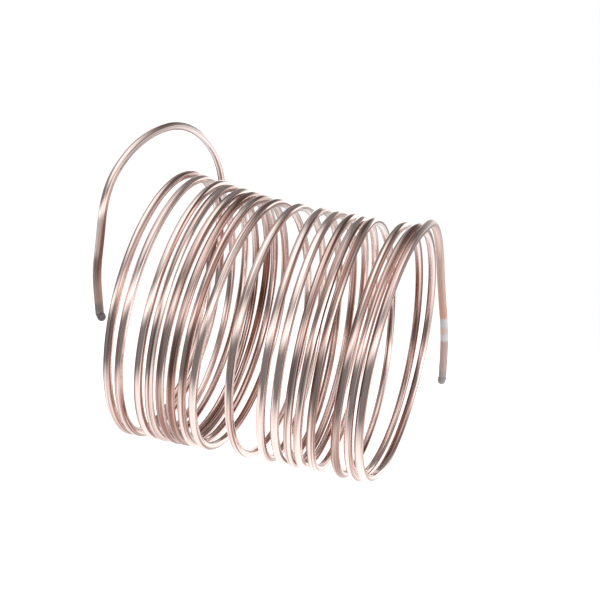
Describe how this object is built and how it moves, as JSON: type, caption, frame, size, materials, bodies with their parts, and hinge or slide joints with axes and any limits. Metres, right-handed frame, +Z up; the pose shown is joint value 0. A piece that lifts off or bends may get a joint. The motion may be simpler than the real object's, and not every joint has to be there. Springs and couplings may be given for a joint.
{
  "type": "immersion wort chiller",
  "caption": "Immersion wort chiller: a loose coil of bright copper tube lying on its side, with an arched inlet end, a hanging outlet end and a rubber plug in each mouth.",
  "frame": {"origin": "middle of the whole object's footprint box, on the surface that the loops' feet stand on", "axes": "+X along the coil from the inlet's end to the outlet's end, +Y to the far side, +Z up"},
  "size_m": [0.3123, 0.2904, 0.3211],
  "materials": {
    "copper": "bright drawn copper",
    "plug_rubber": "matte grey rubber"
  },
  "bodies": {
    "coil": {"coil_tube": "copper"},
    "inlet_plug": {"inlet_plug": "plug_rubber"},
    "outlet_plug": {"outlet_plug": "plug_rubber"}
  },
  "joints": [
    {"name": "inlet_plug_pull", "type": "slide", "parent": "coil", "child": "inlet_plug", "axis": [0, 0, -1], "range_m": [0, 0.05]},
    {"name": "outlet_plug_pull", "type": "slide", "parent": "coil", "child": "outlet_plug", "axis": [0, 0, -1], "range_m": [0, 0.05]}
  ]
}
